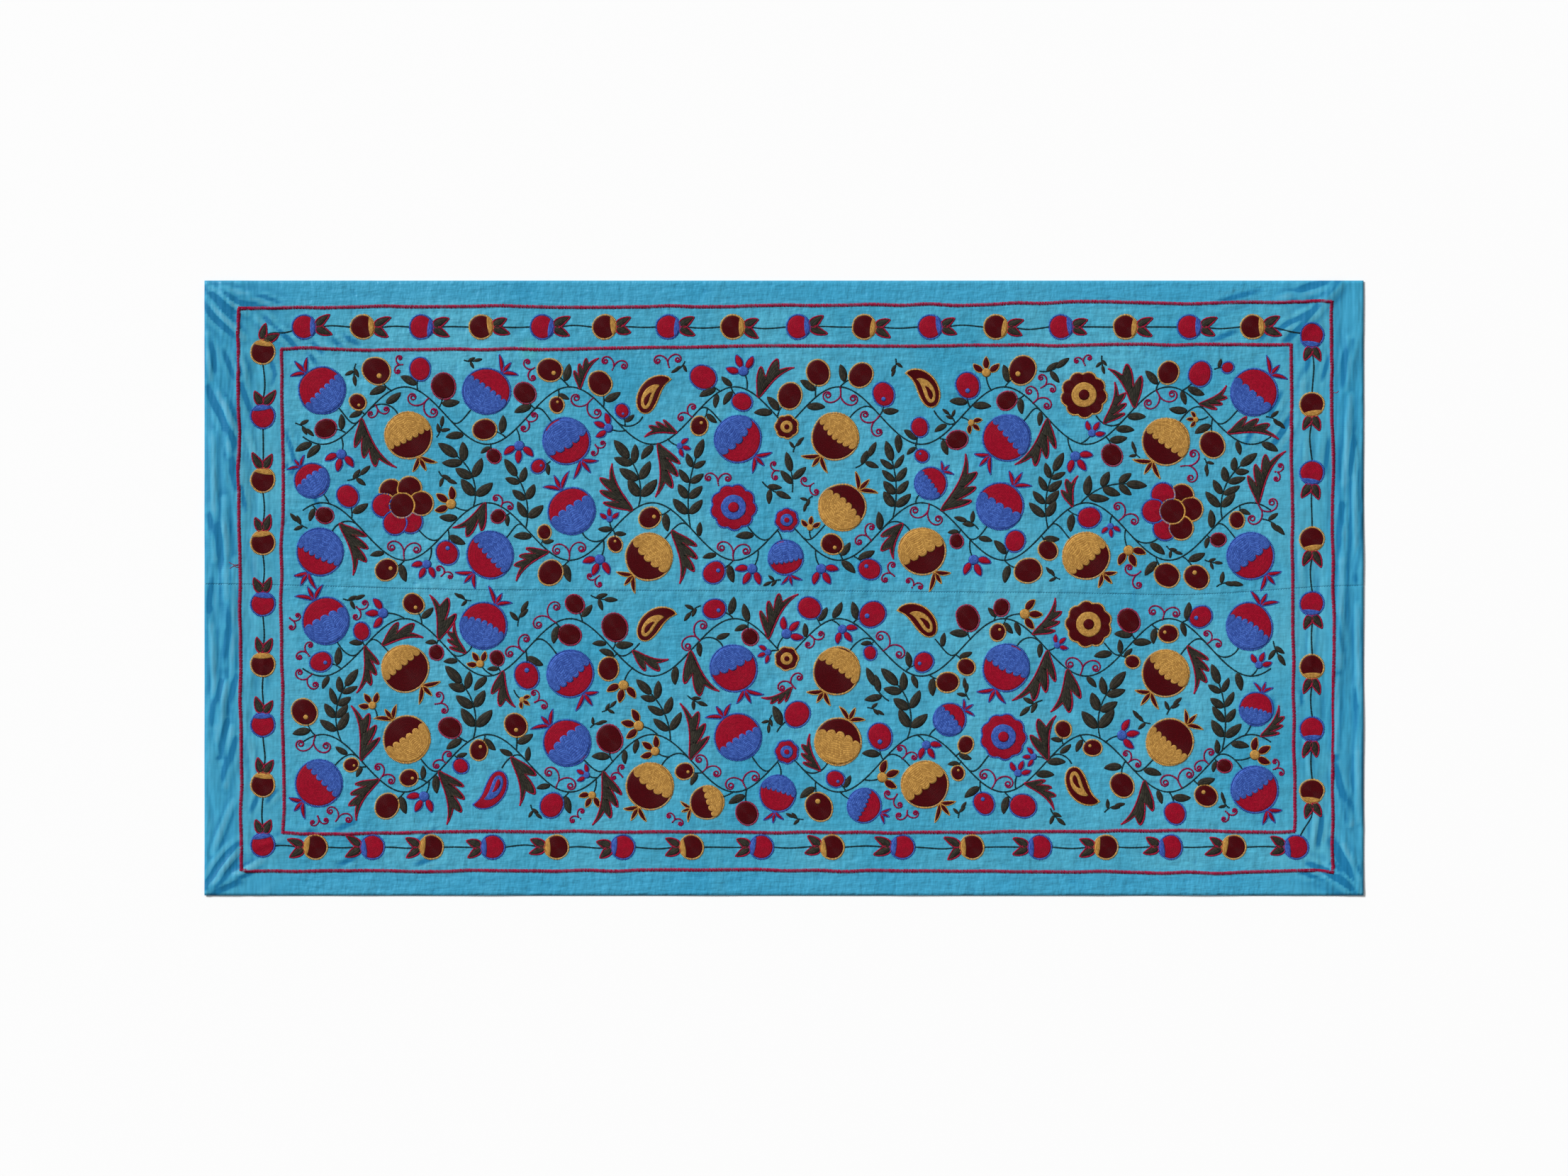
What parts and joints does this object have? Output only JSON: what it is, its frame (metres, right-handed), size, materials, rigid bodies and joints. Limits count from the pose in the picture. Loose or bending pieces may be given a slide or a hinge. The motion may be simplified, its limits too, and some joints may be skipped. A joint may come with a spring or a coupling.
{
  "type": "suzani embroidered textile",
  "caption": "Large turquoise silk cloth embroidered with bordering fruit, frame lines and flowering vines; lies flat as a cover or hangs as a wall cloth.",
  "frame": {"origin": "middle of the underside of the cloth, on the surface it lies on", "axes": "+X along the length of the cloth, +Y up the design, +Z out of the embroidered face"},
  "size_m": [2.5, 1.326, 0.0055],
  "materials": {
    "ground_silk": "turquoise silk, soft sheen, fine slub weave",
    "crimson_yarn": "crimson silk yarn, worked in close couched rows",
    "maroon_yarn": "dark maroon silk yarn, worked in close couched rows",
    "gold_yarn": "old gold silk yarn",
    "blue_yarn": "cornflower blue silk yarn",
    "leaf_yarn": "near black green silk yarn",
    "raspberry_yarn": "raspberry silk yarn of the frame lines and tendrils"
  },
  "bodies": {
    "root": {"panel_upper": "ground_silk", "panel_lower": "ground_silk"}
  },
  "joints": []
}
